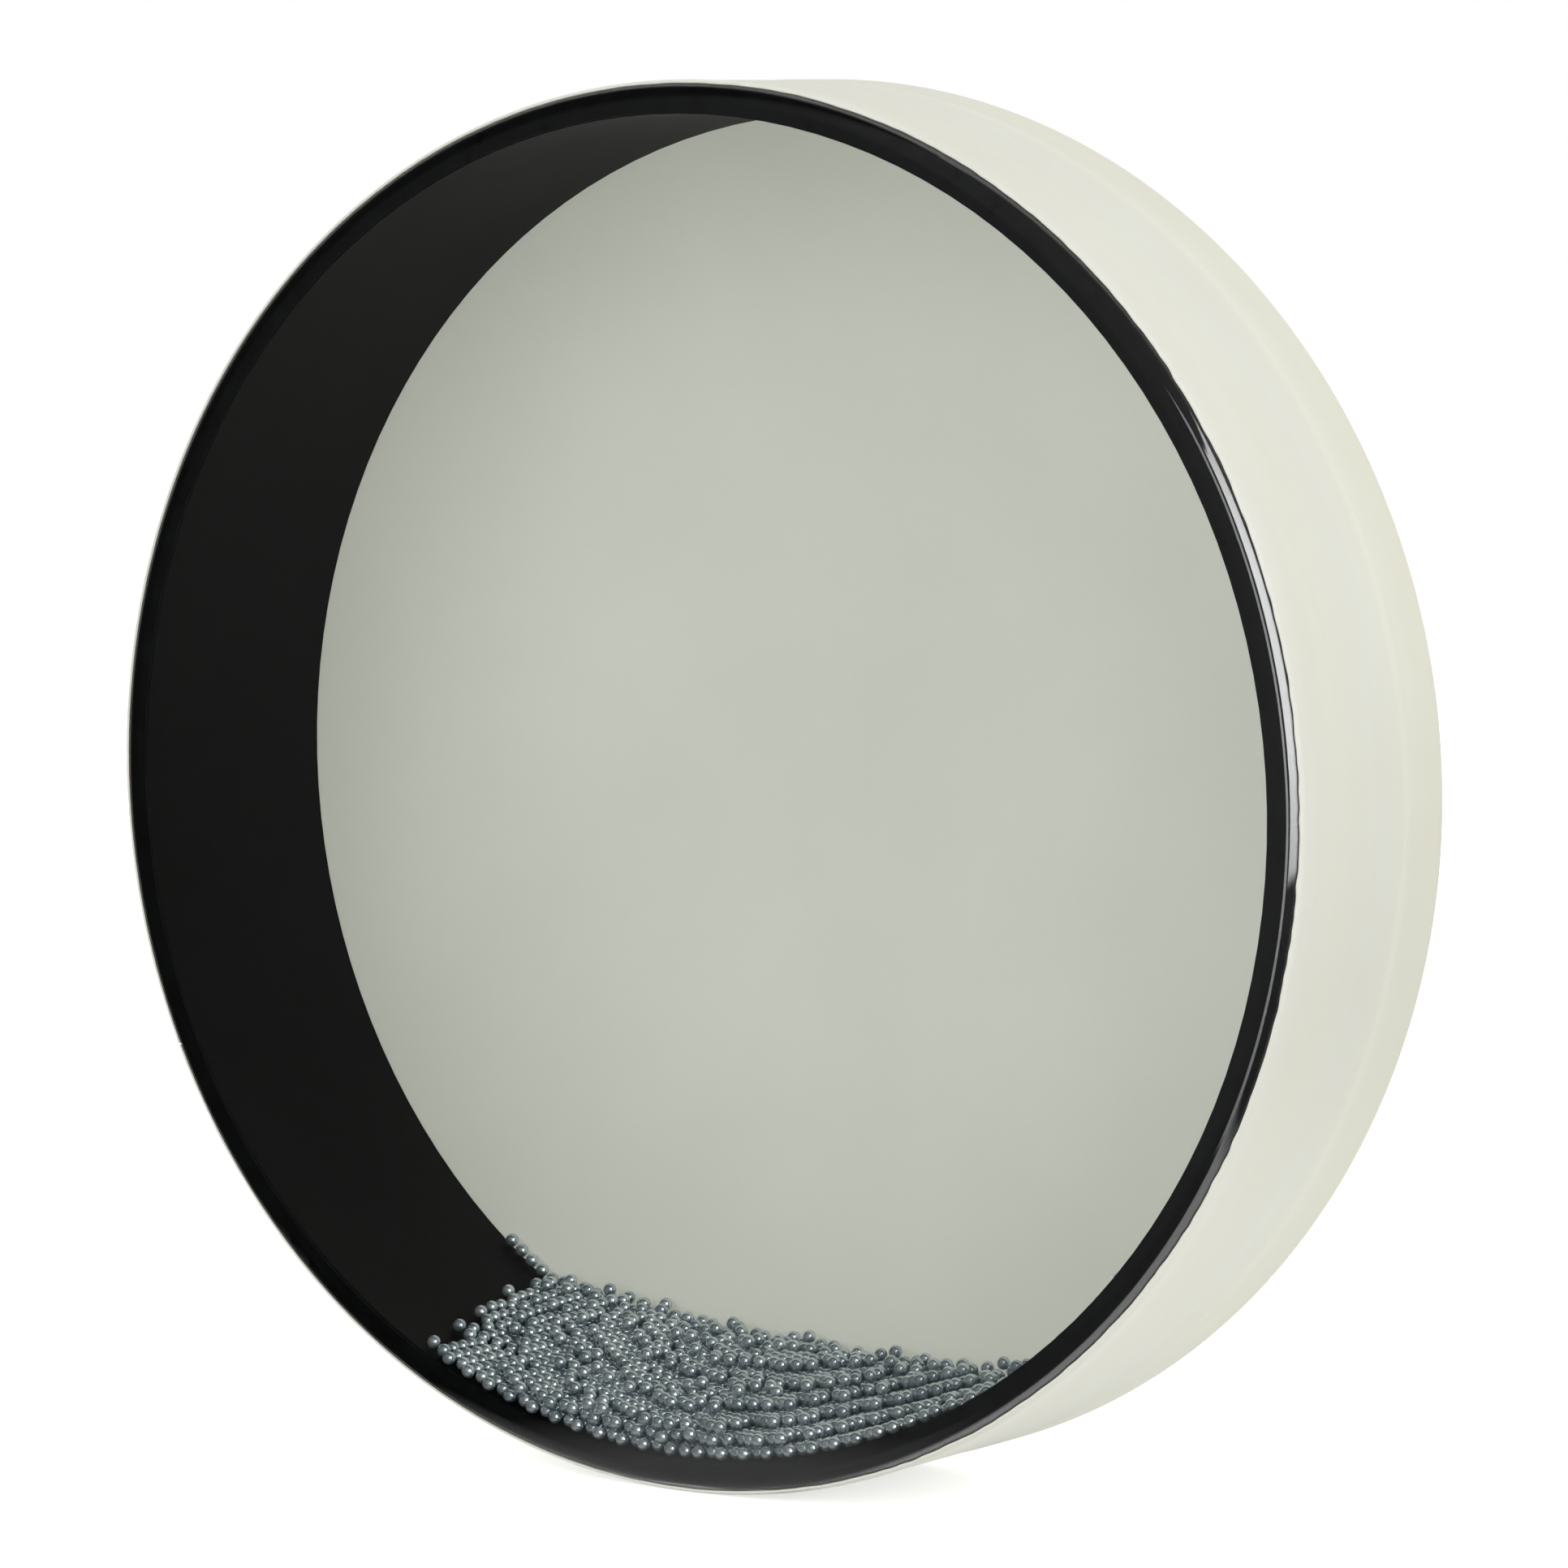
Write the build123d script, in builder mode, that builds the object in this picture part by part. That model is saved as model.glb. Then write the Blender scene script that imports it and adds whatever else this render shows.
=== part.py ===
from build123d import *
import os

import numpy as np
from scipy.spatial import cKDTree

# Ocean drum: a shallow frame drum closed by two films, with steel beads loose between them.
# It stands on its rim. The drum's axis lies along Y, the clear head faces -Y, and Z = 0 is the
# lowest point of the cover.

# Shell, cover and heads
drum_diameter = 304.8  # over the cover
shell_depth = 63.5  # the laminated shell alone, rim to rim
shell_wall = 6.8  # at the middle of the shell
rim_radius = 3.4  # rounded outer corner of each rim, which the film bends over
rim_break = 0.3  # small bevel on the inner corner of each rim
film_thickness = 0.3
bond_thickness = 0.4
front_collar = 14.0  # how far the clear film runs down the side
rear_collar = 18.0  # how far the white film runs down the side
collar_gap = 0.5  # from a collar's edge to the shoulder of its rebate
cover_thickness = 0.5
cover_lap = 27.0  # degrees that the cover's edges turn in over the rims
seam_gap = 0.4  # butt joint of the cover
seam_angle = 205.0  # degrees round the axis from +X

# Beads
bead_diameter = 3.0
bead_clearance = 0.3  # from the beads to the wall and the films
bead_gap = 0.35  # between neighbouring beads
heap_front_depth = 5.5  # depth of the heap at the clear head, over the lowest point
heap_rear_depth = 17.0  # the same at the white head
heap_left_rise = 9.0  # the surface climbs this much to the left, over a quarter of the diameter
heap_front_left = 29.5  # degrees round the wall from the lowest point to the heap's left edge
heap_rear_left = 32.8  # the same at the white head
heap_right_dip = 5.0  # it falls to the right at this rate
heap_right_rise = 18.0  # and then climbs this much, late and steeply
heap_front_right = 25.0  # degrees from the lowest point to the heap's right edge
heap_rear_right = 42.0  # the same at the white head
string_count = 4  # beads in single file up the corner between the wall and the white head
string_step = 1.4  # degrees from each to the next

drum_radius = drum_diameter / 2
half_depth = shell_depth / 2
shell_outer = drum_radius - cover_thickness
shell_inner = shell_outer - shell_wall
layer_thickness = bond_thickness + film_thickness
rebate_radius = shell_outer - layer_thickness
corner_radius = rebate_radius - rim_radius  # where the flat of the rim ends and its curve starts
section_plane = Plane(origin=(0, 0, drum_radius), x_dir=(0, 1, 0), z_dir=(1, 0, 0))
drum_axis = Axis((0, 0, drum_radius), (0, 1, 0))


def rim_layer(side, inner, outer, flat_from, collar):
    """Section of a layer over one rim: along the face, round the corner and down the side,
    between two distances from the shell. Side is -1 at the front and 1 at the rear."""
    face_inner = side * (half_depth + inner)
    face_outer = side * (half_depth + outer)
    edge = side * (half_depth - collar)
    with BuildSketch(section_plane) as section:
        with BuildLine():
            near = JernArc((face_inner, corner_radius), (0, 1), rim_radius + inner, side * 90)
            far = JernArc((face_outer, corner_radius), (0, 1), rim_radius + outer, side * 90)
            Polyline(near @ 0, (face_inner, flat_from), (face_outer, flat_from), far @ 0)
            Polyline(near @ 1, (edge, rebate_radius + inner), (edge, rebate_radius + outer), far @ 1)
        make_face()
    return section.sketch


def heap_layers(angle, along):
    """Layers of beads on the wall, at an angle from the lowest point and a share of the way to
    the white head. The surface slopes up to the rear and climbs to both ends."""
    x = shell_inner * np.sin(angle)
    middle = heap_front_depth + (heap_rear_depth - heap_front_depth) * along
    share = x / (drum_radius / 2)
    left, right = np.minimum(share, 0), np.maximum(share, 0)
    climb = heap_left_rise * left**2 - heap_right_dip * right + heap_right_rise * right**6
    surface = shell_inner - middle - climb
    return (shell_inner - surface / np.cos(angle)) / (0.85 * bead_diameter)


def settle_beads():
    """Centres of the heap's beads about the drum's axis. Rows of beads are laid out on the wall in
    staggered layers, shaken a little, and then pressed out to the wall while beads that come
    too close push each other apart."""
    spacing = bead_diameter + bead_gap
    wall = shell_inner - bead_clearance - bead_diameter / 2
    end = half_depth + bond_thickness - bead_clearance - bead_diameter / 2
    rng = np.random.default_rng(12)
    leftmost, rightmost = max(heap_front_left, heap_rear_left), max(heap_front_right, heap_rear_right)
    rows = np.arange(-np.radians(leftmost), np.radians(rightmost), 0.9 * spacing / wall)
    columns = int(2 * end / (1.04 * spacing)) + 1
    tiers = int(max(heap_front_depth, heap_rear_depth) / (0.8 * bead_diameter)) + 2
    tier, row, column = np.meshgrid(np.arange(tiers), np.arange(len(rows)), np.arange(columns), indexing="ij")
    angle = rows[row] + (tier % 2) * 0.45 * spacing / wall
    along = (column + 0.25 + 0.5 * ((row + tier) % 2)) / columns
    left = -np.radians(heap_front_left + (heap_rear_left - heap_front_left) * along)
    right = np.radians(heap_front_right + (heap_rear_right - heap_front_right) * along)
    uneven = rng.uniform(-0.9, 0.9, tier.shape)
    ragged = rng.uniform(0, 2.5 * spacing / wall, tier.shape)
    kept = tier < np.maximum(heap_layers(angle, along) + uneven, 1)
    kept &= (angle > left + ragged) & (angle < right - ragged)
    angle, along, tier = angle[kept], along[kept], tier[kept]
    radius = wall - 0.85 * spacing * tier
    beads = np.stack([radius * np.sin(angle), end * (2 * along - 1), -radius * np.cos(angle)], axis=1)
    beads += rng.normal(0, 0.2 * spacing, beads.shape)
    count = len(beads)
    passes = 120
    for step in range(passes):
        press = 0.12 * spacing * max(0, 1 - step / (0.6 * passes))
        beads[:, ::2] *= 1 + press / np.hypot(beads[:, 0], beads[:, 2])[:, None]
        first, second = cKDTree(beads).query_pairs(1.2 * spacing, output_type="ndarray").T
        for sweep in range(10):
            apart = beads[first] - beads[second]
            distance = np.linalg.norm(apart, axis=1)
            push = apart * (0.35 * np.maximum(spacing - distance, 0) / distance)[:, None]
            for axis in range(3):
                beads[:, axis] += np.bincount(first, push[:, axis], count)
                beads[:, axis] -= np.bincount(second, push[:, axis], count)
            beads[:, 1] = np.clip(beads[:, 1], -end, end)
            beads[:, ::2] *= np.minimum(1, wall / np.hypot(beads[:, 0], beads[:, 2]))[:, None]
    first, second = cKDTree(beads).query_pairs(spacing, output_type="ndarray").T
    least = np.linalg.norm(beads[first] - beads[second], axis=1).min()
    print(count, "beads in the heap, least gap", round(least - bead_diameter, 3), "mm")
    return [(x, y, drum_radius + z) for x, y, z in beads.tolist()]


def string_beads(heap):
    """Centres of the beads in single file, up the left of the corner at the white head, from the
    place where that corner is clear of the heap."""
    wall = shell_inner - bead_clearance - bead_diameter / 2
    end = half_depth + bond_thickness - bead_clearance - bead_diameter / 2
    angle = np.radians(np.arange(0, 90, 0.05))
    corner = np.stack([-wall * np.sin(angle), np.full(len(angle), end), drum_radius - wall * np.cos(angle)], axis=1)
    blocked = cKDTree(heap).query(corner)[0] < bead_diameter + bead_gap
    first = angle[np.flatnonzero(blocked)[-1] + 1]
    angle = first + np.radians(string_step) * np.arange(string_count)
    return [(-wall * np.sin(a), end, drum_radius - wall * np.cos(a)) for a in angle.tolist()]


# Laminated shell: a plain bore, rounded rims, and a rebate for the collar of each head
with BuildPart() as shell:
    with BuildSketch(section_plane):
        with BuildLine():
            front_arc = JernArc((-half_depth, corner_radius), (0, 1), rim_radius, -90)
            rear_arc = JernArc((half_depth, corner_radius), (0, 1), rim_radius, 90)
            front_shoulder = front_collar + collar_gap - half_depth
            rear_shoulder = half_depth - rear_collar - collar_gap
            Polyline(
                front_arc @ 1,
                (front_shoulder, rebate_radius),
                (front_shoulder, shell_outer),
                (rear_shoulder, shell_outer),
                (rear_shoulder, rebate_radius),
                rear_arc @ 1,
            )
            Polyline(
                front_arc @ 0,
                (-half_depth, shell_inner + rim_break),
                (rim_break - half_depth, shell_inner),
                (half_depth - rim_break, shell_inner),
                (half_depth, shell_inner + rim_break),
                rear_arc @ 0,
            )
        make_face()
    revolve(axis=drum_axis)

# Adhesive between each rim and its film, which also seals the bead chamber
with BuildPart() as front_bond:
    revolve(rim_layer(-1, 0, bond_thickness, shell_inner + rim_break, front_collar), axis=drum_axis)

with BuildPart() as rear_bond:
    revolve(rim_layer(1, 0, bond_thickness, shell_inner + rim_break, rear_collar), axis=drum_axis)

# Heads: films drawn flat over the rims, with their collars bonded to the side of the shell
with BuildPart() as front_head:
    revolve(rim_layer(-1, bond_thickness, layer_thickness, 0, front_collar), axis=drum_axis)

with BuildPart() as rear_head:
    revolve(rim_layer(1, bond_thickness, layer_thickness, 0, rear_collar), axis=drum_axis)

# Cover: a sheet wrapped round the side, over both collars, with a butt joint
with BuildPart() as shell_cover:
    with BuildSketch(section_plane):
        with BuildLine():
            bend_inner = rim_radius + layer_thickness
            bend_outer = bend_inner + cover_thickness
            bend_at = half_depth - rim_radius
            for bend, level in ((bend_inner, shell_outer), (bend_outer, drum_radius)):
                Line((-bend_at, level), (bend_at, level))
                CenterArc((-bend_at, corner_radius), bend, 90, cover_lap)
                CenterArc((bend_at, corner_radius), bend, 90, -cover_lap)
            for side in (-1, 1):
                lip = Vector(0, 1).rotate(Axis.Z, -side * cover_lap)
                hub = Vector(side * bend_at, corner_radius)
                Line(hub + lip * bend_inner, hub + lip * bend_outer)
        make_face()
    revolve(axis=drum_axis)
    seam_plane = Plane(drum_axis.position, x_dir=(0, 1, 0), z_dir=(1, 0, 0)).rotated((0, -seam_angle, 0))
    with BuildSketch(seam_plane.offset(corner_radius)):
        Rectangle(shell_depth + 2 * drum_radius, seam_gap)
    extrude(amount=drum_radius, mode=Mode.SUBTRACT)

# Loose steel beads: the heap along the bottom, and the string that climbs the rear corner
heap_centres = settle_beads()
with BuildPart() as bead_heap:
    with Locations(*heap_centres):
        Sphere(bead_diameter / 2)

with BuildPart() as bead_string:
    with Locations(*string_beads(heap_centres)):
        Sphere(bead_diameter / 2)

os.makedirs("parts", exist_ok=True)
shell.part.label = "shell"
export_step(shell.part, "parts/shell.step")
front_bond.part.label = "front_bond"
export_step(front_bond.part, "parts/front_bond.step")
rear_bond.part.label = "rear_bond"
export_step(rear_bond.part, "parts/rear_bond.step")
front_head.part.label = "front_head"
export_step(front_head.part, "parts/front_head.step")
rear_head.part.label = "rear_head"
export_step(rear_head.part, "parts/rear_head.step")
shell_cover.part.label = "shell_cover"
export_step(shell_cover.part, "parts/shell_cover.step")
bead_heap.part.label = "bead_heap"
export_step(bead_heap.part, "parts/bead_heap.step")
bead_string.part.label = "bead_string"
export_step(bead_string.part, "parts/bead_string.step")
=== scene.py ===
import math
import bpy
import numpy as np
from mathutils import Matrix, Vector


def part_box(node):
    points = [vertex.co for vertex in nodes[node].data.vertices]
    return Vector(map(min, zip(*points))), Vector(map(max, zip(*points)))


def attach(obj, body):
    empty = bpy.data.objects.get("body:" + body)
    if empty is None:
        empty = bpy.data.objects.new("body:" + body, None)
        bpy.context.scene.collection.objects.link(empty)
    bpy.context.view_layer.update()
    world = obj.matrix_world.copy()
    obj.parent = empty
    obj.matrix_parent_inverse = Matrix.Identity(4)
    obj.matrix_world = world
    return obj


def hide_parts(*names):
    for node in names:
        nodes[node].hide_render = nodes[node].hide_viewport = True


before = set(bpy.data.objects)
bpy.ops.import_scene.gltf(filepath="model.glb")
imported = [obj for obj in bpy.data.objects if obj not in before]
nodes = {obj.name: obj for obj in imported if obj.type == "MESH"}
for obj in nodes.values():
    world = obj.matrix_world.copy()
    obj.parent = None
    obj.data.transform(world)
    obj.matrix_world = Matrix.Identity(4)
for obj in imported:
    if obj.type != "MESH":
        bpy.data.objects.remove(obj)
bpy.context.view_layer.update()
mm = 0.001
print("frame loaded:", len(nodes), "nodes")

# the drum's axis lies along Y, and the lowest point of the cover is Z = 0
coverLow, coverHigh = (np.array(c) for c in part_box("shell_cover"))
drumRadius = (coverHigh[2] - coverLow[2]) / 2
axisHeight = (coverHigh[2] + coverLow[2]) / 2
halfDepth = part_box("shell")[1][1]  # the shell's rim, before the films
drumCentre = Vector((0.0, 0.0, axisHeight))


def toLinear(hexColour):  # an sRGB hex colour as linear RGBA
    srgb = [int(hexColour[i:i + 2], 16) / 255 for i in (1, 3, 5)]
    return [c / 12.92 if c <= 0.04045 else ((c + 0.055) / 1.055) ** 2.4 for c in srgb] + [1.0]


def addNode(tree, kind, inputs=None, stops=(), **settings):
    # a node with its settings, its values and links, and a ramp's stops as (position, hex colour)
    node = tree.nodes.new(kind)
    for name, value in settings.items():
        setattr(node, name, value)
    for name, value in (inputs or {}).items():
        if isinstance(value, bpy.types.NodeSocket):
            tree.links.new(value, node.inputs[name])
        else:
            node.inputs[name].default_value = value
    for count, (position, hexColour) in enumerate(stops):
        ramp = node.color_ramp.elements  # two stops are there from the start
        stop = ramp[count] if count < 2 else ramp.new(position)
        stop.position, stop.color = position, toLinear(hexColour)
    return node


def newMaterial(name):  # an empty material and its tree
    material = bpy.data.materials.new(name)
    material.use_nodes = True
    material.node_tree.nodes.clear()
    return material, material.node_tree


def direction(azimuth, elevation):  # degrees round from -Y towards +X, and up, as a unit vector
    across, up = math.radians(azimuth), math.radians(elevation)
    return Vector((math.sin(across) * math.cos(up), -math.cos(across) * math.cos(up), math.sin(up)))


def makePiece(name, points, faces, material, body, replaced, sharpDegrees=40):
    # points in metres, and faces as a list of index arrays, one array for each count of corners
    mesh = bpy.data.meshes.new(name)
    mesh.vertices.add(len(points))
    mesh.vertices.foreach_set("co", np.ascontiguousarray(points, dtype=np.float32).ravel())
    corners = np.concatenate([f.ravel() for f in faces])
    counts = np.concatenate([np.full(len(f), f.shape[1]) for f in faces])
    mesh.loops.add(len(corners))
    mesh.loops.foreach_set("vertex_index", corners.astype(np.int32))
    mesh.polygons.add(len(counts))
    mesh.polygons.foreach_set("loop_start", (np.cumsum(counts) - counts).astype(np.int32))
    mesh.update(calc_edges=True)
    mesh.validate()
    mesh.shade_smooth()
    mesh.set_sharp_from_angle(angle=math.radians(sharpDegrees))
    mesh.materials.append(material)
    piece = bpy.data.objects.new(name, mesh)
    bpy.context.scene.collection.objects.link(piece)
    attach(piece, body)
    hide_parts(replaced)
    return piece


def outward(points, faces):  # turns all faces round where the shell they close has a negative volume
    volume = 0.0
    for f in faces:
        for k in range(1, f.shape[1] - 1):
            a, b, c = points[f[:, 0]], points[f[:, k]], points[f[:, k + 1]]
            volume += np.einsum("ij,ij->i", a, np.cross(b, c)).sum()
    return faces if volume > 0 else [f[:, ::-1] for f in faces]


def gridFaces(rows, columns, closedRows, closedColumns):  # quads between the neighbours of a grid
    index = np.arange(rows * columns).reshape(rows, columns)
    if closedRows:
        index = np.concatenate([index, index[:1]])
    if closedColumns:
        index = np.concatenate([index, index[:, :1]], axis=1)
    corners = [index[:-1, :-1], index[1:, :-1], index[1:, 1:], index[:-1, 1:]]
    return np.stack(corners, axis=-1).reshape(-1, 4)


def turned(axial, radial, angle):
    # a section carried round the drum's axis: x = radial cos angle, y = axial, z = radial sin angle
    x, z = radial * np.cos(angle), axisHeight + radial * np.sin(angle)
    return np.stack([x, axial + 0 * angle, z], axis=-1)


# Camera: at the photograph's viewing angle, for a frame of 1932 by 1932
view = dict(azimuth=33.683, elevation=5.204, distance=1.6764, nearest=0.05, sensor=36.0,
            focalPixels=9471.85, frame=1932, centrePixel=(938.49, 962.25))
towards = direction(view["azimuth"], view["elevation"])
camera = bpy.data.objects.new("camera", bpy.data.cameras.new("camera"))
bpy.context.scene.collection.objects.link(camera)
camera.location = drumCentre + towards * view["distance"]
camera.rotation_euler = towards.to_track_quat("Z", "Y").to_euler()
camera.data.sensor_width = view["sensor"]
camera.data.lens = view["sensor"] * view["focalPixels"] / view["frame"]
camera.data.shift_x = (view["frame"] / 2 - view["centrePixel"][0]) / view["frame"]
camera.data.shift_y = (view["centrePixel"][1] - view["frame"] / 2) / view["frame"]
camera.data.clip_start = view["nearest"]
bpy.context.scene.camera = camera
print("camera set")


# Materials
dull, bright = 0.3, 0.7  # a noise lies mostly between these, so a ramp's two colours stand there


def blackLaminate():
    # wood-fibre laminate, sprayed satin black: dark and even, with a faint orange peel and some dust
    cloudSize, peelSize = 40 * mm, 1.6 * mm
    dustCell, dustRadius, dustShare = 9 * mm, 0.035, 0.12  # radius in cells, about 0.3 mm
    material, tree = newMaterial("blackLaminate")
    place = addNode(tree, "ShaderNodeTexCoord").outputs["Object"]
    cloud = addNode(tree, "ShaderNodeTexNoise", {"Vector": place, "Scale": 1 / cloudSize, "Detail": 3.0})
    paint = addNode(tree, "ShaderNodeValToRGB", {"Fac": cloud.outputs["Fac"]},
                    stops=((dull, "#060707"), (bright, "#0A0B0B")))
    # one cell in many holds a speck of dust
    cell = addNode(tree, "ShaderNodeTexVoronoi", {"Vector": place, "Scale": 1 / dustCell})
    near = addNode(tree, "ShaderNodeMath", {0: cell.outputs["Distance"], 1: dustRadius},
                   operation="LESS_THAN")
    rare = addNode(tree, "ShaderNodeSeparateColor", {"Color": cell.outputs["Color"]})
    chosen = addNode(tree, "ShaderNodeMath", {0: rare.outputs["Red"], 1: dustShare},
                     operation="LESS_THAN")
    speck = addNode(tree, "ShaderNodeMath", {0: near.outputs[0], 1: chosen.outputs[0]},
                    operation="MULTIPLY")
    dusty = addNode(tree, "ShaderNodeMix", {
        "Factor": speck.outputs[0], "A": paint.outputs["Color"], "B": toLinear("#6E706C")},
        data_type="RGBA")
    peel = addNode(tree, "ShaderNodeTexNoise", {"Vector": place, "Scale": 1 / peelSize, "Detail": 2.0})
    bump = addNode(tree, "ShaderNodeBump", {
        "Height": peel.outputs["Fac"], "Strength": 0.12, "Distance": 0.1 * mm})
    rough = addNode(tree, "ShaderNodeMapRange", {
        "Value": cloud.outputs["Fac"], "To Min": 0.5, "To Max": 0.62})
    shader = addNode(tree, "ShaderNodeBsdfPrincipled", {
        "Base Color": dusty.outputs["Result"], "Roughness": rough.outputs["Result"],
        "Normal": bump.outputs["Normal"], "Specular IOR Level": 0.065})
    addNode(tree, "ShaderNodeOutputMaterial", {"Surface": shader.outputs["BSDF"]})
    return material


def blackAdhesive():
    # cured adhesive, rolled on: near black, wet under the film, with small streaks from the roller
    streakSize = 6 * mm
    material, tree = newMaterial("blackAdhesive")
    place = addNode(tree, "ShaderNodeTexCoord").outputs["Object"]
    streak = addNode(tree, "ShaderNodeTexNoise", {"Vector": place, "Scale": 1 / streakSize, "Detail": 3.0})
    colour = addNode(tree, "ShaderNodeValToRGB", {"Fac": streak.outputs["Fac"]},
                     stops=((dull, "#070708"), (bright, "#0C0D0E")))
    rough = addNode(tree, "ShaderNodeMapRange", {
        "Value": streak.outputs["Fac"], "To Min": 0.22, "To Max": 0.4})
    shader = addNode(tree, "ShaderNodeBsdfPrincipled", {
        "Base Color": colour.outputs["Color"], "Roughness": rough.outputs["Result"],
        "Specular IOR Level": 0.06})
    addNode(tree, "ShaderNodeOutputMaterial", {"Surface": shader.outputs["BSDF"]})
    return material


def clearFilm():
    # polyester film, cast and stretched: quite clear, and a mirror at a glance, with the faintest waves
    waveSize, filmIndex = 70 * mm, 1.57
    material, tree = newMaterial("clearFilm")
    place = addNode(tree, "ShaderNodeTexCoord").outputs["Object"]
    wave = addNode(tree, "ShaderNodeTexNoise", {"Vector": place, "Scale": 1 / waveSize, "Detail": 1.0})
    bump = addNode(tree, "ShaderNodeBump", {
        "Height": wave.outputs["Fac"], "Strength": 0.02, "Distance": 0.5 * mm})
    # light passes straight through, and the far side mirrors as the near one does: its index is turned over
    side = addNode(tree, "ShaderNodeNewGeometry").outputs["Backfacing"]
    index = addNode(tree, "ShaderNodeMapRange", {
        "Value": side, "To Min": filmIndex, "To Max": 1 / filmIndex})
    share = addNode(tree, "ShaderNodeFresnel", {
        "IOR": index.outputs["Result"], "Normal": bump.outputs["Normal"]})
    through = addNode(tree, "ShaderNodeBsdfTransparent", {"Color": toLinear("#FBFCFB")})
    mirror = addNode(tree, "ShaderNodeBsdfGlossy", {
        "Color": toLinear("#FFFFFF"), "Roughness": 0.03, "Normal": bump.outputs["Normal"]})
    mixed = addNode(tree, "ShaderNodeMixShader", {
        "Fac": share.outputs["Fac"], 1: through.outputs[0], 2: mirror.outputs[0]})
    addNode(tree, "ShaderNodeOutputMaterial", {"Surface": mixed.outputs[0]})
    return material


def milkyFilm():
    # polyester film filled with white, stretched: smooth, with a soft sheen, and some light comes through
    cloudSize, lightThrough = 110 * mm, 0.6
    material, tree = newMaterial("milkyFilm")
    place = addNode(tree, "ShaderNodeTexCoord").outputs["Object"]
    cloud = addNode(tree, "ShaderNodeTexNoise", {"Vector": place, "Scale": 1 / cloudSize, "Detail": 3.0})
    ramp = addNode(tree, "ShaderNodeValToRGB", {"Fac": cloud.outputs["Fac"]},
                   stops=((dull, "#DBDCD6"), (bright, "#E0E0DB")))
    colour = ramp.outputs["Color"]
    rough = addNode(tree, "ShaderNodeMapRange", {
        "Value": cloud.outputs["Fac"], "To Min": 0.36, "To Max": 0.46})
    shader = addNode(tree, "ShaderNodeBsdfPrincipled", {
        "Base Color": colour, "Roughness": rough.outputs["Result"], "Specular IOR Level": 0.35})
    glow = addNode(tree, "ShaderNodeBsdfTranslucent", {"Color": colour})
    mixed = addNode(tree, "ShaderNodeMixShader", {
        "Fac": lightThrough, 1: shader.outputs["BSDF"], 2: glow.outputs[0]})
    addNode(tree, "ShaderNodeOutputMaterial", {"Surface": mixed.outputs[0]})
    return material


def creamSheet():
    # coated cream sheet, rolled: satin, a little mottled, with fine streaks round the drum
    cloudSize, streakSize, streakSqueeze = 38 * mm, 60 * mm, 9.0
    grainSize = 1.2 * mm  # coarser than the real 0.3 mm, to show
    bandEnd = 32 * mm
    material, tree = newMaterial("creamSheet")
    place = addNode(tree, "ShaderNodeTexCoord").outputs["Object"]
    cloud = addNode(tree, "ShaderNodeTexNoise", {
        "Vector": place, "Scale": 1 / cloudSize, "Detail": 4.0, "Roughness": 0.6})
    along = addNode(tree, "ShaderNodeMapping", {"Vector": place, "Scale": (1.0, streakSqueeze, 1.0)})
    streak = addNode(tree, "ShaderNodeTexNoise", {
        "Vector": along.outputs["Vector"], "Scale": 1 / streakSize, "Detail": 3.0})
    both = addNode(tree, "ShaderNodeMath", {0: cloud.outputs["Fac"], 1: streak.outputs["Fac"]},
                   operation="ADD")
    half = addNode(tree, "ShaderNodeMath", {0: both.outputs[0], 1: 0.5}, operation="MULTIPLY")
    mottle = addNode(tree, "ShaderNodeValToRGB", {"Fac": half.outputs[0]},
                     stops=((dull, "#DBDACF"), (bright, "#DFDFD7")))
    # along the drum's axis: paler towards the front edge, yellower behind the rear collar's edge, and a
    # painted highlight, a paler line, right on the rear collar's edge
    level = addNode(tree, "ShaderNodeSeparateXYZ", {"Vector": place}).outputs["Y"]
    band = addNode(tree, "ShaderNodeMapRange", {"Value": level, "From Min": -bandEnd, "From Max": bandEnd})
    tintAndHighlight = addNode(tree, "ShaderNodeValToRGB", {"Fac": band.outputs["Result"]}, stops=(
        (0.02, "#FFFFFF"), (0.16, "#FBFBF8"), (0.3, "#FAFBF6"), (0.55, "#F9FAF9"),
        (0.68, "#FAFBF7"), (0.715, "#FEFEFA"), (0.75, "#FAFAF5"), (0.98, "#F9F9F1")))
    tintedAndHighlit = addNode(tree, "ShaderNodeMix", {
        "Factor": 1.0, "A": mottle.outputs["Color"], "B": tintAndHighlight.outputs["Color"]},
        data_type="RGBA", blend_type="MULTIPLY")
    grain = addNode(tree, "ShaderNodeTexNoise", {"Vector": place, "Scale": 1 / grainSize, "Detail": 3.0})
    bump = addNode(tree, "ShaderNodeBump", {
        "Height": grain.outputs["Fac"], "Strength": 0.06, "Distance": 0.1 * mm})
    rough = addNode(tree, "ShaderNodeMapRange", {
        "Value": cloud.outputs["Fac"], "To Min": 0.42, "To Max": 0.55})
    shader = addNode(tree, "ShaderNodeBsdfPrincipled", {
        "Base Color": tintedAndHighlit.outputs["Result"], "Roughness": rough.outputs["Result"],
        "Normal": bump.outputs["Normal"], "Specular IOR Level": 0.4})
    addNode(tree, "ShaderNodeOutputMaterial", {"Surface": shader.outputs["BSDF"]})
    return material


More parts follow.
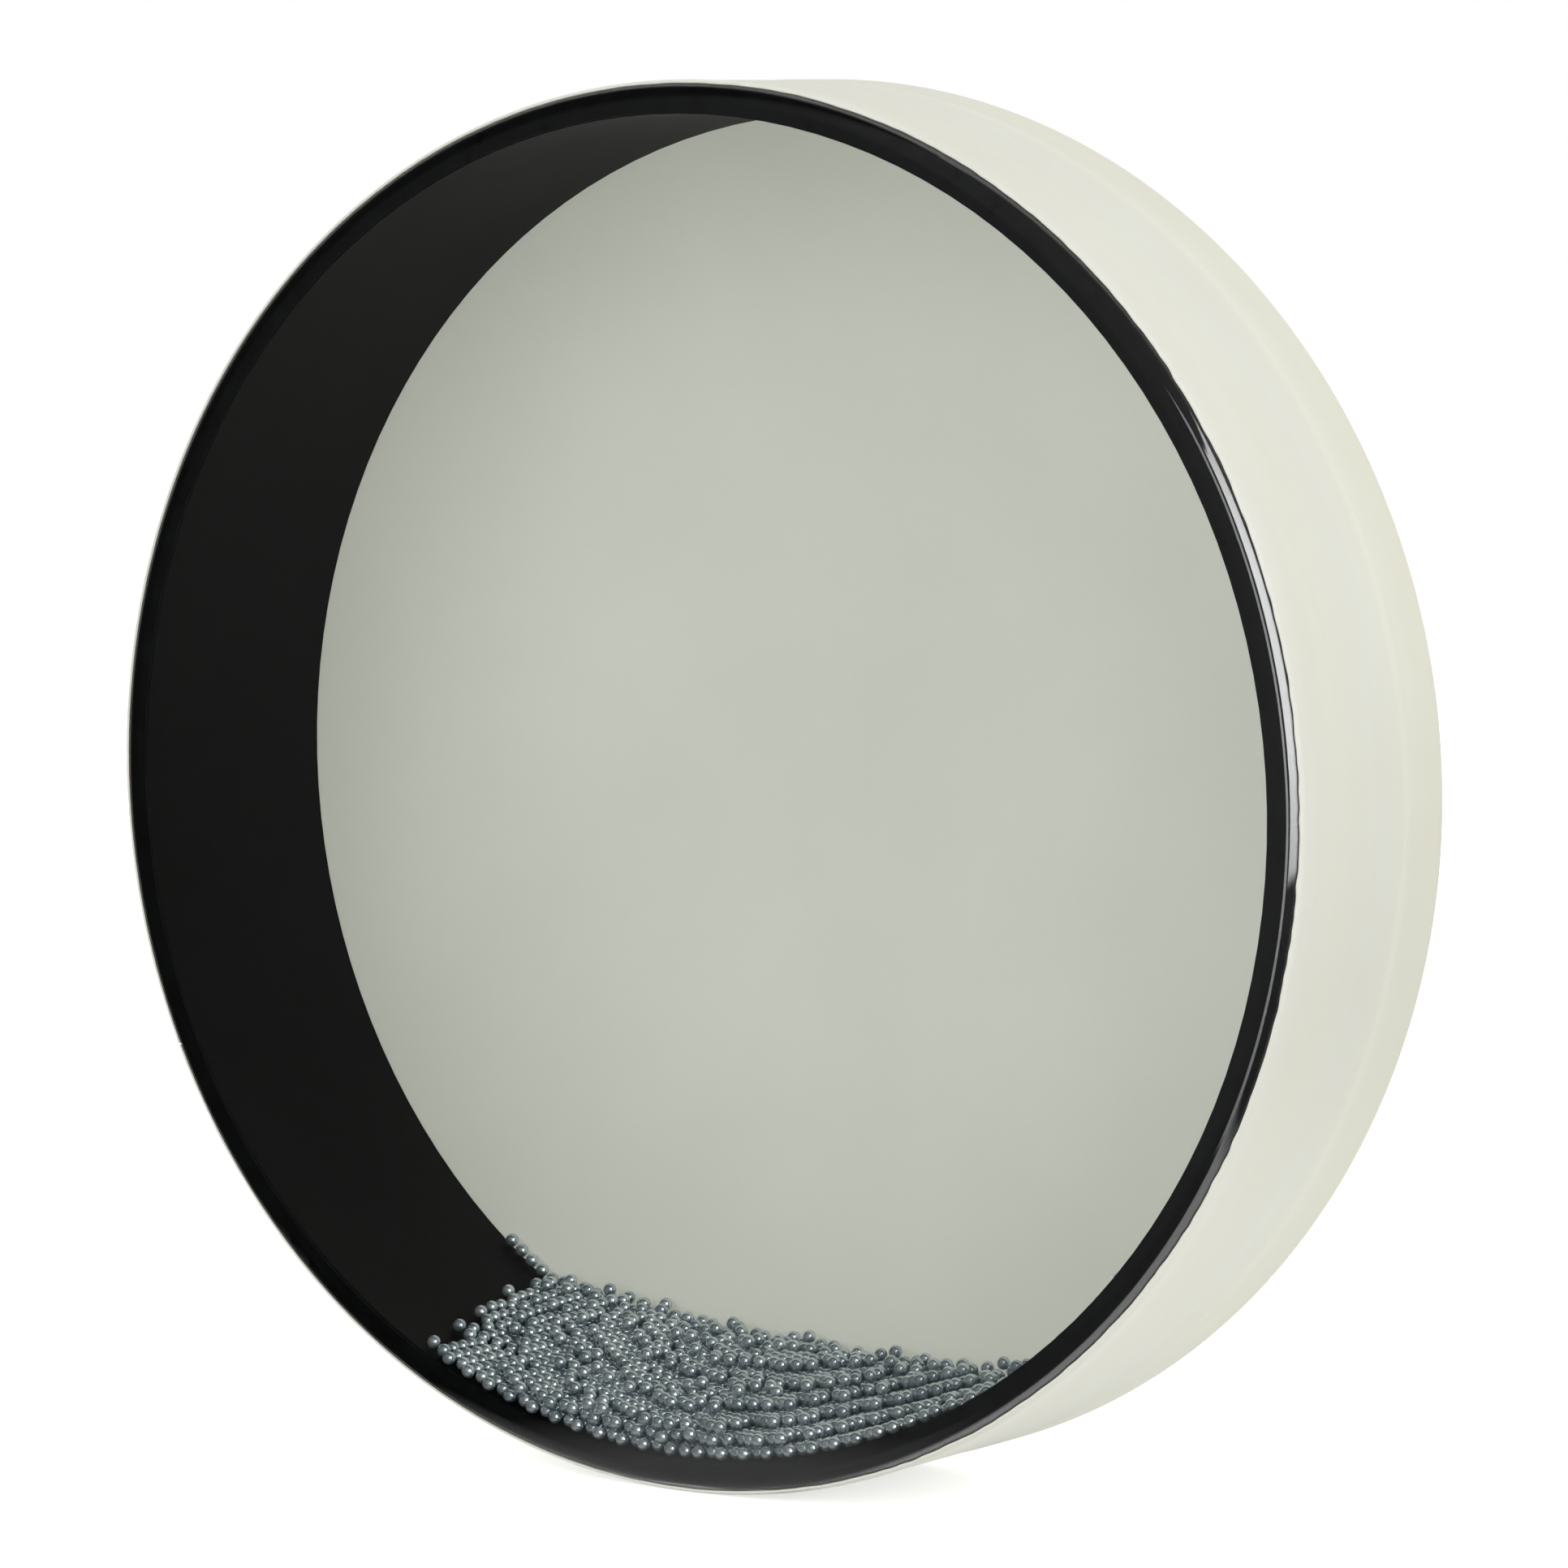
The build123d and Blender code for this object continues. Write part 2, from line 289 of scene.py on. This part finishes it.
def beadSteel():
    # rolled and tumbled steel beads: bright, bluish, each a little lighter or duller than the next
    material, tree = newMaterial("beadSteel")
    tone = addNode(tree, "ShaderNodeAttribute", attribute_name="beadTone").outputs["Fac"]
    colour = addNode(tree, "ShaderNodeValToRGB", {"Fac": tone},
                     stops=((dull, "#B4BFC6"), (bright, "#CCD5DB")))
    rough = addNode(tree, "ShaderNodeMapRange", {"Value": tone, "To Min": 0.12, "To Max": 0.2})
    shader = addNode(tree, "ShaderNodeBsdfPrincipled", {
        "Base Color": colour.outputs["Color"], "Metallic": 0.8, "Roughness": rough.outputs["Result"]})
    addNode(tree, "ShaderNodeOutputMaterial", {"Surface": shader.outputs["BSDF"]})
    return material


steel, cream, milky, clear = beadSteel(), creamSheet(), milkyFilm(), clearFilm()
laminate, adhesive = blackLaminate(), blackAdhesive()
for name, material in (("shell", laminate), ("front_bond", adhesive), ("rear_bond", adhesive)):
    for holder in nodes[name].material_slots:
        holder.material = material
print("materials made")


# Beads: the centres come from the CAD solids, and each bead is a small grid sphere
beads = dict(segments=12, rings=6, swell=1.03, seed=5,
             nearRadius=1.5 * mm, newBeadJump=1.0 * mm, sliverShare=0.01)


def beadCentres(node):
    # a triangle's middle less a radius along its normal is near its bead's centre; a jump starts a new bead
    mesh = nodes[node].data
    corner = np.empty(len(mesh.vertices) * 3, np.float32)
    mesh.vertices.foreach_get("co", corner)
    index = np.empty(len(mesh.loops), np.int32)
    mesh.loops.foreach_get("vertex_index", index)
    triangle = corner.reshape(-1, 3)[index.reshape(-1, 3)].astype(float)
    normal = np.cross(triangle[:, 1] - triangle[:, 0], triangle[:, 2] - triangle[:, 0])
    size = np.linalg.norm(normal, axis=1)
    solid = size > beads["sliverShare"] * np.median(size)  # leaves out the slivers at a sphere's poles
    triangle, normal = triangle[solid], normal[solid] / size[solid, None]
    guess = triangle.mean(axis=1) - normal * beads["nearRadius"]
    jump = np.linalg.norm(np.diff(guess, axis=0), axis=1)
    start = np.concatenate([[0], np.flatnonzero(jump > beads["newBeadJump"]) + 1])
    low = np.minimum.reduceat(triangle.min(axis=1), start)
    high = np.maximum.reduceat(triangle.max(axis=1), start)
    return (low + high) / 2, float(np.median(high - low)) / 2


def beadShape(segments, rings):
    # a sphere: x = sin v cos u, y = sin v sin u, z = cos v, with a pole at each end
    u = np.arange(segments) * 2 * np.pi / segments
    v = np.arange(1, rings) * np.pi / rings
    grid = np.stack([np.outer(np.sin(v), np.cos(u)), np.outer(np.sin(v), np.sin(u)),
                     np.outer(np.cos(v), np.ones(segments))], axis=-1).reshape(-1, 3)
    points = np.concatenate([grid, [[0, 0, 1], [0, 0, -1]]])
    ring, after = np.arange(segments), (np.arange(segments) + 1) % segments
    last, top = (rings - 2) * segments, len(points) - 2
    poles = np.concatenate([np.stack([ring, after, 0 * ring + top], axis=1),
                            np.stack([last + after, last + ring, 0 * ring + top + 1], axis=1)])
    return points, outward(points, [gridFaces(rings - 1, segments, False, True)]) + outward(points, [poles])


def beadPiece(name, centres, radius, body, replaced, rng):
    # every bead is the same sphere, turned its own way by a random unit quaternion
    shape, shapeFaces = beadShape(beads["segments"], beads["rings"])
    quaternion = rng.normal(size=(len(centres), 4))
    w, x, y, z = quaternion.T / np.linalg.norm(quaternion, axis=1)
    turn = np.stack([1 - 2 * (y * y + z * z), 2 * (x * y - w * z), 2 * (x * z + w * y),
                     2 * (x * y + w * z), 1 - 2 * (x * x + z * z), 2 * (y * z - w * x),
                     2 * (x * z - w * y), 2 * (y * z + w * x), 1 - 2 * (x * x + y * y)],
                    axis=1).reshape(-1, 3, 3)
    points = centres[:, None] + radius * np.einsum("bij,pj->bpi", turn, shape)
    first = (np.arange(len(centres)) * len(shape))[:, None, None]
    faces = [(first + f[None]).reshape(-1, f.shape[1]) for f in shapeFaces]
    piece = makePiece(name, points.reshape(-1, 3), faces, steel, body, replaced,
                      sharpDegrees=180)
    tone = np.repeat(rng.uniform(0, 1, len(centres)), len(shape)).astype(np.float32)
    piece.data.attributes.new("beadTone", "FLOAT", "POINT").data.foreach_set("value", tone)


rng = np.random.default_rng(beads["seed"])
centres, radius = beadCentres("bead_heap")
order = np.argsort(centres[:, 1], kind="stable")
middle = len(order) // 2  # the heap is two pieces, to keep each under the limit of faces
beadPiece("heap_front_beads", centres[order[:middle]], radius * beads["swell"], "heap", "bead_heap", rng)
beadPiece("heap_rear_beads", centres[order[middle:]], radius * beads["swell"], "heap", "bead_heap", rng)
stringCentres, radius = beadCentres("bead_string")
beadPiece("string_beads", stringCentres, radius * beads["swell"], "string", "bead_string", rng)
print("beads placed:", len(centres), "in the heap and", len(stringCentres), "in the string")


# Heads: each film is a section carried round the axis, flat over the drum, round the rim and down the side
heads = dict(turns=480, flatRings=17, bendRings=25, collarRings=6, rimRadius=3.4 * mm, bond=0.4 * mm,
             film=0.3 * mm, cornerRadius=147.8 * mm, lift=0.04 * mm,
             frontCollar=14.0 * mm, rearCollar=18.0 * mm)


def headPiece(name, side, collar, material, replaced):
    # the section, axial and radial: out over the face, a quarter round, down the collar, and back inside
    inner = heads["rimRadius"] + heads["bond"] + heads["lift"]
    outer = heads["rimRadius"] + heads["bond"] + heads["film"]
    hub, corner, edge = halfDepth - heads["rimRadius"], heads["cornerRadius"], halfDepth - collar
    flat = corner * np.sin(np.linspace(0, np.pi / 2, heads["flatRings"]))[1:-1]  # closer near the rim
    bend = np.linspace(0, np.pi / 2, heads["bendRings"])
    down = np.linspace(hub, edge, heads["collarRings"])[1:]

    def half(r):
        return (np.concatenate([np.full(len(flat), hub + r), hub + r * np.cos(bend), down]),
                np.concatenate([flat, corner + r * np.sin(bend), np.full(len(down), corner + r)]))

    outAxial, outRadial = half(outer)
    inAxial, inRadial = half(inner)
    axial = side * np.concatenate([outAxial, inAxial[::-1]])
    radial = np.concatenate([outRadial, inRadial[::-1]])
    angle = np.arange(heads["turns"]) * 2 * np.pi / heads["turns"]
    grid = turned(axial[None, :], radial[None, :], angle[:, None])
    rows, columns = grid.shape[:2]
    middles = [[0, side * (hub + outer), axisHeight], [0, side * (hub + inner), axisHeight]]
    points = np.concatenate([grid.reshape(-1, 3), middles])
    rim, after = np.arange(rows) * columns, np.roll(np.arange(rows), -1) * columns
    outPole, last = 0 * rim + rows * columns, columns - 1
    poles = np.concatenate([np.stack([after, rim, outPole], axis=1),
                            np.stack([rim + last, after + last, outPole + 1], axis=1)])
    faces = outward(points, [gridFaces(rows, columns, True, False), poles])
    makePiece(name, points, faces, material, "drum", replaced)


headPiece("clear_head", -1, heads["frontCollar"], clear, "front_head")
headPiece("milky_head", 1, heads["rearCollar"], milky, "rear_head")
print("heads drawn over the rims")


# Cover: a sheet round the side that turns in over both rims, with an uneven front edge and a butt seam
cover = dict(turns=1440, sheet=0.5 * mm, lift=0.03 * mm, bend=4.1 * mm, lapRings=9, seed=8,
             seamDegrees=205.0, seamGap=0.4 * mm,
             frontLap=25.0, onceRound=6.0, twiceRound=5.0, shortAt=46.0,
             frontRagged=0.8, frontWaves=(20, 220), frontFall=0.4,
             rearLap=27.0, rearRagged=0.8, rearWaves=(3, 60), rearFall=0.7,
             plainLevels=(-0.967, -0.6, -0.2, 0.15), rearLevels=(0.75, 0.967),
             collarStep=0.16 * mm, stepWidth=1.6 * mm, stepRings=9)


def unevenness(angle, rng, waves, fall):
    # a sum of sines round the drum, longer waves taller, over the spread of its own height
    count = np.arange(*waves)
    phase = rng.uniform(0, 2 * np.pi, len(count))
    height = rng.normal(size=len(count)) / count ** fall
    rows = (height[:, None] * np.sin(count[:, None] * angle[None, :] + phase[:, None])).sum(axis=0)
    return rows / np.abs(rows).std()


def coverPiece():
    rng = np.random.default_rng(cover["seed"])
    gap = cover["seamGap"] / drumRadius / 2
    seam = math.radians(cover["seamDegrees"])
    angle = np.linspace(seam + gap, seam + 2 * np.pi - gap, cover["turns"])
    hub, corner = halfDepth - heads["rimRadius"], heads["cornerRadius"]
    # the front edge wanders round the drum, in once and out twice, and is cut a little unevenly
    away = angle - math.radians(cover["shortAt"])
    once, twice = cover["onceRound"] * np.cos(away), cover["twiceRound"] * np.cos(2 * away)
    frontCut = cover["frontRagged"] * unevenness(angle, rng, cover["frontWaves"], cover["frontFall"])
    rearCut = cover["rearRagged"] * unevenness(angle, rng, cover["rearWaves"], cover["rearFall"])
    lapFront, lapRear = cover["frontLap"] - once - twice + frontCut, cover["rearLap"] + rearCut
    share = np.linspace(0, 1, cover["lapRings"])
    # few levels along the plain side, and close ones over the edge of the rear collar
    collarEdge, near = halfDepth - heads["rearCollar"], cover["stepWidth"]
    across = np.concatenate([hub * np.array(cover["plainLevels"]),
                             collarEdge + np.linspace(-near, near, cover["stepRings"]),
                             hub * np.array(cover["rearLevels"])])
    allRound = np.ones((len(angle), 1))

    def surface(r, proud):
        # the front lap from its edge up, straight across with an S-shaped step at the collar, the rear lap
        front = np.radians(lapFront)[:, None] * (1 - share)[None, :]
        rear = np.radians(lapRear)[:, None] * share[None, :]
        step = proud / (1 + np.exp(-(across - collarEdge) / (near / 4)))
        level = corner + r + step - proud
        axial = [-hub - r * np.sin(front), allRound * across, hub + r * np.sin(rear)]
        radial = [corner + r * np.cos(front), allRound * level, corner + r * np.cos(rear)]
        return turned(np.concatenate(axial, axis=1), np.concatenate(radial, axis=1), angle[:, None])

    outside = surface(cover["bend"] + cover["sheet"], cover["collarStep"])
    inside = surface(cover["bend"] + cover["lift"], 0.0)
    grid = np.concatenate([outside, inside[:, ::-1]], axis=1)
    rows, columns = grid.shape[:2]
    points = grid.reshape(-1, 3)
    around = gridFaces(rows, columns, False, True)
    up = np.arange(columns // 2)
    end = np.stack([up[:-1], up[1:], columns - 2 - up[:-1], columns - 1 - up[:-1]], axis=1)
    faces = outward(points, [np.concatenate([around, end, (end + (rows - 1) * columns)[:, ::-1]])])
    makePiece("cover_wrap", points, faces, cream, "drum", "shell_cover", sharpDegrees=50)


coverPiece()
print("cover wrapped")


# Studio: pale floor, a soft window of light at the right, a narrow one near the camera, and fill all round
studio = dict(floorSize=9.0, floorGlow=0.64, fill=0.48, lampDistance=1.7)
lamps = dict(window=dict(azimuth=(41.0, 98.0), elevation=(-4.0, 41.0), radiance=0.9),
             narrowWindow=dict(azimuth=(12.0, 30.0), elevation=(-4.0, 24.0), radiance=1.0),
             frontPanel=dict(azimuth=(-50.0, 10.0), elevation=(0.0, 40.0), radiance=1.65),
             topPanel=dict(azimuth=(40.0, 120.0), elevation=(62.0, 89.0), radiance=1.0),
             rearPanel=dict(azimuth=(150.0, 210.0), elevation=(0.0, 40.0), radiance=1.1))


def lampPanel(name, azimuth, elevation, radiance):
    # a flat panel that fills a range of angles round the drum and up
    distance = studio["lampDistance"]
    away = direction(sum(azimuth) / 2, sum(elevation) / 2)
    lamp = bpy.data.lights.new(name, "AREA")
    lamp.shape = "RECTANGLE"
    lamp.size = 2 * distance * math.tan(math.radians(azimuth[1] - azimuth[0]) / 2)
    lamp.size_y = 2 * distance * math.tan(math.radians(elevation[1] - elevation[0]) / 2)
    lamp.energy = 4 * radiance * lamp.size * lamp.size_y
    panel = bpy.data.objects.new(name, lamp)
    bpy.context.scene.collection.objects.link(panel)
    panel.location = drumCentre + away * distance
    panel.rotation_euler = away.to_track_quat("Z", "Y").to_euler()
    panel.visible_camera = panel.visible_glossy = False  # its shine in reflections is painted on the cloth below


for name, settings in lamps.items():
    lampPanel(name, **settings)


def stageObject(name, points, faces, material):  # a mesh that isn't part of the drum
    mesh = bpy.data.meshes.new(name)
    mesh.from_pydata(points, [], faces)
    mesh.materials.append(material)
    thing = bpy.data.objects.new(name, mesh)
    bpy.context.scene.collection.objects.link(thing)
    return thing


def seenByEye(tree):
    # 1 for what the camera sees, also in a mirror or through glass, and 0 for light on the drum
    path = addNode(tree, "ShaderNodeLightPath").outputs
    seen = addNode(tree, "ShaderNodeMath", {0: path["Is Camera Ray"], 1: path["Is Glossy Ray"]},
                   operation="MAXIMUM")
    seen = addNode(tree, "ShaderNodeMath", {0: seen.outputs[0], 1: path["Is Transmission Ray"]},
                   operation="MAXIMUM")
    return seen.outputs[0]


# the floor takes the drum's shadow, and glows for the eye until it is as pale as the background
floorPaint, tree = newMaterial("paleFloor")
glow = addNode(tree, "ShaderNodeMath", {0: seenByEye(tree), 1: studio["floorGlow"]}, operation="MULTIPLY")
paint = addNode(tree, "ShaderNodeBsdfDiffuse", {"Color": toLinear("#EEEEEC")})
light = addNode(tree, "ShaderNodeEmission", {"Color": toLinear("#FFFFFF"), "Strength": glow.outputs[0]})
total = addNode(tree, "ShaderNodeAddShader", {0: paint.outputs[0], 1: light.outputs[0]})
addNode(tree, "ShaderNodeOutputMaterial", {"Surface": total.outputs[0]})
reach = studio["floorSize"]
floorCorners = [(-reach, -reach, 0), (reach, -reach, 0), (reach, reach, 0), (-reach, reach, 0)]
stageObject("floor", floorCorners, [(0, 1, 2, 3)], floorPaint)


# Room: painted reflections, what film, steel and gloss mirror, by degrees round the drum and up, where a
# shine of 1 is white.
# Its painted wall is dim and darkest at the front left, a painted pale table's edge crosses in front of the
# drum, and two painted panes are windows
room = dict(radius=3.2, overFloor=2 * mm, step=0.5, highest=88.0, softEdge=0.7,
            wallTurns=(-135, -100, -42, -25, 110, 135), wallShine=(0.7, 0.012, 0.012, 0.14, 0.14, 0.7),
            lowTurns=(-30, -4), lowShare=(0.58, 1))
table = dict(below=-9, shine=1.4, edge=0.03, bend=2.85, soft=0.008, reach=(0.4, 0.7),
             sides=(0.01, 0.03, 0.2, 0.24), footShine=0.35, footReach=(0.03, 0.09))
panes = (dict(azimuth=(54.0, 102.0), lean=0.0, lowest=-10.0, highest=(38.0, 47.0), shine=7.3,
              levels=(-10.0, 5.0, 28.0, 42.0), fade=(0.6, 1.0, 1.0, 0.66)),
         dict(azimuth=(30.0, 42.0), lean=0.5, lowest=-32.0, highest=(38.0, 38.0), shine=3.0,
              levels=(-32.0, -16.0, 0.0, 38.0), fade=(0.45, 0.7, 1.0, 0.7)))


def roomLight(azimuth, elevation, x, y):
    # the wall's shine, or the table's where that is more, and a pane's in place of either
    light = np.interp(azimuth, room["wallTurns"], room["wallShine"])
    light = light * np.interp(elevation, room["lowTurns"], room["lowShare"])
    onTable = np.interp(y + table["edge"] + table["bend"] * x ** 2, [0, table["soft"]], [0, 1])
    onTable = onTable * np.interp(np.hypot(x, y), table["reach"], [1, 0])
    onTable = onTable * np.interp(x, table["sides"], [0, 1, 1, 0])
    atFoot = np.interp(np.hypot(x, y + halfDepth), table["footReach"], [1, 0])
    tableLight = np.maximum(onTable * table["shine"], atFoot * table["footShine"])
    light = np.maximum(light, tableLight * (elevation < table["below"]))
    for pane in panes:
        upright = azimuth + pane["lean"] * np.minimum(elevation, 0)
        left, right = upright - pane["azimuth"][0], pane["azimuth"][1] - upright
        below = elevation - pane["lowest"]
        above = np.interp(upright, pane["azimuth"], pane["highest"]) - elevation
        inside = np.minimum(np.minimum(left, right), np.minimum(below, above))  # degrees inside its edge
        shine = pane["shine"] * np.interp(elevation, pane["levels"], pane["fade"])
        light = light + (shine - light) * np.interp(inside, [-room["softEdge"], room["softEdge"]], [0, 1])
    return light


# a cloth all round that glows with these painted reflections and is no lamp, met by reflections alone: each
# way from the drum it is at the room's radius, or just over the floor where that is nearer
cloth, tree = newMaterial("paintedReflectionCloth")
strength = addNode(tree, "ShaderNodeAttribute", attribute_name="roomLight").outputs["Fac"]
light = addNode(tree, "ShaderNodeEmission", {"Color": toLinear("#FFFFFF"), "Strength": strength})
addNode(tree, "ShaderNodeOutputMaterial", {"Surface": light.outputs[0]})
levels = round(2 * room["highest"] / room["step"]) + 1
clothAzimuth = np.arange(-180.0, 180.0, room["step"])[:, None]
clothElevation = np.linspace(-room["highest"], room["highest"], levels)[None, :]
across, up = np.radians(clothAzimuth), np.radians(clothElevation)
toFloor = (axisHeight - room["overFloor"]) / np.maximum(-np.sin(up), 1e-6)  # no division by zero when level
length = np.minimum(room["radius"], toFloor)
clothGrid = np.stack([length * np.cos(up) * np.sin(across), -length * np.cos(up) * np.cos(across),
                      axisHeight + length * np.sin(up) + 0 * across], axis=-1)
clothFaces = gridFaces(len(clothAzimuth), levels, True, False)
paintedReflectionCloth = stageObject("paintedReflectionCloth", clothGrid.reshape(-1, 3).tolist(), clothFaces.tolist(), cloth)
shine = roomLight(clothAzimuth + 0 * clothElevation, clothElevation + 0 * clothAzimuth,
                  clothGrid[..., 0], clothGrid[..., 1]).astype(np.float32).ravel()
paintedReflectionCloth.data.attributes.new("roomLight", "FLOAT", "POINT").data.foreach_set("value", shine)
paintedReflectionCloth.visible_camera = paintedReflectionCloth.visible_diffuse = paintedReflectionCloth.visible_transmission = False
paintedReflectionCloth.visible_shadow = paintedReflectionCloth.visible_volume_scatter = False

# white all round for the eye, and a plain level of light for the drum
world = bpy.data.worlds.new("studio")
world.use_nodes = True
bpy.context.scene.world = world
tree = world.node_tree
tree.nodes.clear()
strength = addNode(tree, "ShaderNodeMapRange", {
    "Value": seenByEye(tree), "To Min": studio["fill"], "To Max": 1.0})
sky = addNode(tree, "ShaderNodeBackground", {
    "Color": toLinear("#FFFFFF"), "Strength": strength.outputs["Result"]})
addNode(tree, "ShaderNodeOutputWorld", {"Surface": sky.outputs[0]})
bpy.context.scene.view_settings.view_transform = "Standard"
print("studio lit")
